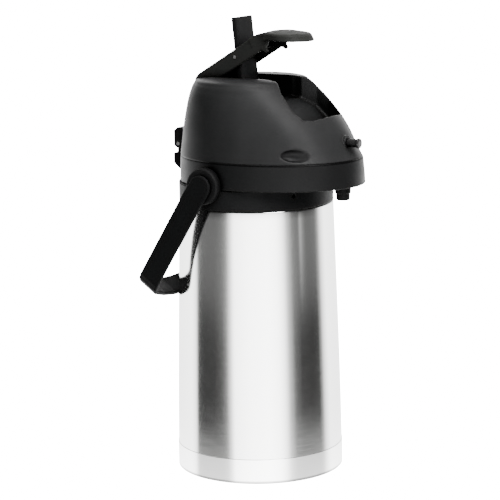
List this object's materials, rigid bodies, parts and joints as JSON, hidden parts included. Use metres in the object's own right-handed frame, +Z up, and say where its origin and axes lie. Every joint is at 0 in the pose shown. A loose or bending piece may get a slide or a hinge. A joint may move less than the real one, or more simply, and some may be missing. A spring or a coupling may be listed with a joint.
{
  "type": "lever airpot",
  "caption": "Tall vacuum-insulated coffee airpot with a pump lever, hinged lid, dispensing nozzle, swivel base and carrying handle.",
  "frame": {"origin": "centre of the resting face under the foot ring", "axes": "+Z up, -Y towards the dispensing nozzle, +Y towards the lid hinge, X across the pot along the hinge pins"},
  "size_m": [0.1732, 0.2158, 0.4388],
  "materials": {
    "shell_steel": "satin brushed stainless steel",
    "band_steel": "polished stainless steel",
    "liner_steel": "plain stainless steel",
    "head_black": "satin-gloss moulded black",
    "collar_black": "fine-textured moulded black",
    "handle_black": "satin moulded black",
    "lever_grey": "satin moulded charcoal",
    "link_black": "satin moulded black",
    "button_grey": "smooth moulded grey",
    "inner_plastic": "plain moulded dark grey",
    "pipe_plastic": "natural food-grade plastic",
    "seal_rubber": "silicone",
    "foot_rubber": "soft black rubber",
    "bellows_rubber": "translucent white silicone",
    "glide_plastic": "low-friction white plastic",
    "pin_steel": "bright turned steel",
    "screw_steel": "zinc-plated steel",
    "spring_steel": "drawn spring wire"
  },
  "bodies": {
    "vessel": {"outer_shell": "shell_steel", "bottle_bottom": "liner_steel", "inner_liner": "liner_steel", "base_band": "band_steel", "bottom_plate": "collar_black", "glide_ring": "glide_plastic", "swivel_screw": "screw_steel", "swivel_washer": "screw_steel", "collar": "collar_black", "shoulder": "head_black", "pivot_boss_left": "collar_black", "pivot_boss_right": "collar_black", "drip_deck": "inner_plastic", "mouth_ring": "inner_plastic", "mouth_gasket": "seal_rubber", "delivery_pipe": "pipe_plastic", "dip_tube": "pipe_plastic", "dip_tube_foot": "pipe_plastic", "pipe_sleeve": "seal_rubber", "tip_valve_seat": "pipe_plastic", "tip_valve_ball": "screw_steel", "nozzle": "collar_black", "nozzle_seal": "seal_rubber", "shoulder_screws": "screw_steel", "lid_hinge_pin": "pin_steel"},
    "base": {"swivel_base": "collar_black", "foot_ring": "foot_rubber"},
    "lid": {"dome": "head_black", "lid_plate": "inner_plastic", "lid_screws": "screw_steel", "air_valve_flap": "seal_rubber", "bellows_clamp": "inner_plastic", "bellows": "bellows_rubber", "return_spring": "spring_steel", "lever_hinge_pin": "pin_steel"},
    "pump_cap": {"bellows_cap": "inner_plastic", "push_pad": "glide_plastic"},
    "lever": {"lever": "lever_grey", "link_pin": "pin_steel"},
    "link": {"push_link": "link_black"},
    "button": {"release_button": "button_grey"},
    "handle": {"bail": "handle_black", "trunnion_washers": "screw_steel", "trunnion_screws": "screw_steel"}
  },
  "joints": [
    {"name": "base_swivel", "type": "hinge", "parent": "vessel", "child": "base", "pos_m": [0, 0, 0], "axis": [0, 0, 1], "continuous": true},
    {"name": "handle_swing", "type": "hinge", "parent": "vessel", "child": "handle", "pos_m": [0, 0.0108, 0.2855], "axis": [1, 0, 0], "range_deg": [0, 60]},
    {"name": "lid_open", "type": "hinge", "parent": "vessel", "child": "lid", "pos_m": [0, 0.0815, 0.3136], "axis": [-1, 0, 0], "range_deg": [0, 80]},
    {"name": "lever_press", "type": "hinge", "parent": "lid", "child": "lever", "pos_m": [0, 0.048, 0.373], "axis": [1, 0, 0], "range_deg": [0, 31], "stiffness_Nm_per_rad": 3, "springref_deg": -14.32},
    {"name": "link_tilt", "type": "hinge", "parent": "lever", "child": "link", "pos_m": [0, 0.00928, 0.40175], "axis": [1, 0, 0], "range_deg": [-25.5, 0]},
    {"name": "pump_stroke", "type": "slide", "parent": "lid", "child": "pump_cap", "axis": [0, 0, -1], "range_m": [0, 0.0245], "deforming": ["bellows", "return_spring"]},
    {"name": "release_press", "type": "slide", "parent": "lid", "child": "button", "axis": [0, 1, 0], "range_m": [0, 0.003], "stiffness_N_per_m": 800, "springref_m": -0.003}
  ],
  "couplings": [
    {"joint": "link_tilt", "follows": "lever_press", "ratio": -0.80645},
    {"joint": "pump_stroke", "follows": "lever_press", "m_per_rad": 0.044839}
  ]
}
